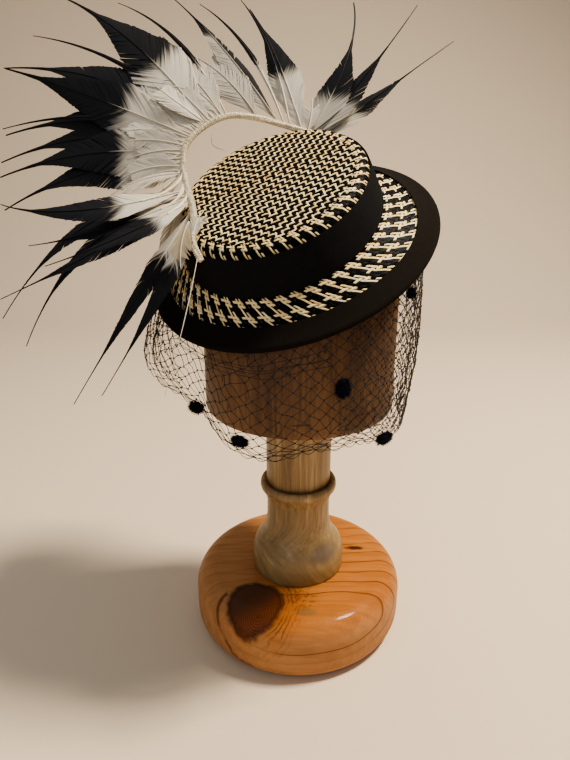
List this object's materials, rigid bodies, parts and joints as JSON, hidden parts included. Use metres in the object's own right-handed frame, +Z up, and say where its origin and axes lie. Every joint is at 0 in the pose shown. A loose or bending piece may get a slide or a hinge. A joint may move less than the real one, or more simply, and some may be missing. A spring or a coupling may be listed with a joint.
{
  "type": "feathered straw hat with dotted veil on a turned wooden hat stand",
  "caption": "Small tilted straw hat with ribbon band, bound brim, feather spray and dotted net veil, held on a turned wooden block stand.",
  "frame": {"origin": "centre of the stand base's flat underside", "axes": "+Z up along the stand's turned axis, +X to the viewer's right, +Y to the back, away from the veil"},
  "size_m": [0.4009, 0.2867, 0.5876],
  "materials": {
    "pine": "satin lacquered knotty wood",
    "turned_wood": "satin streaky wood",
    "block_wood": "dull brown wood",
    "straw": "woven natural and black straw",
    "ribbon": "matte black ribbed ribbon",
    "feather": "cream and black feathers",
    "veil_net": "black net",
    "chenille": "fuzzy blue-black chenille"
  },
  "bodies": {
    "root": {"stand_base": "pine", "stand_column": "turned_wood", "stand_block": "block_wood", "crown": "straw", "brim": "straw", "hat_band": "ribbon", "brim_binding": "ribbon", "feather_spray": "feather", "veil": "veil_net", "veil_dot_1": "chenille", "veil_dot_2": "chenille", "veil_dot_3": "chenille", "veil_dot_4": "chenille", "veil_dot_5": "chenille"}
  },
  "joints": []
}
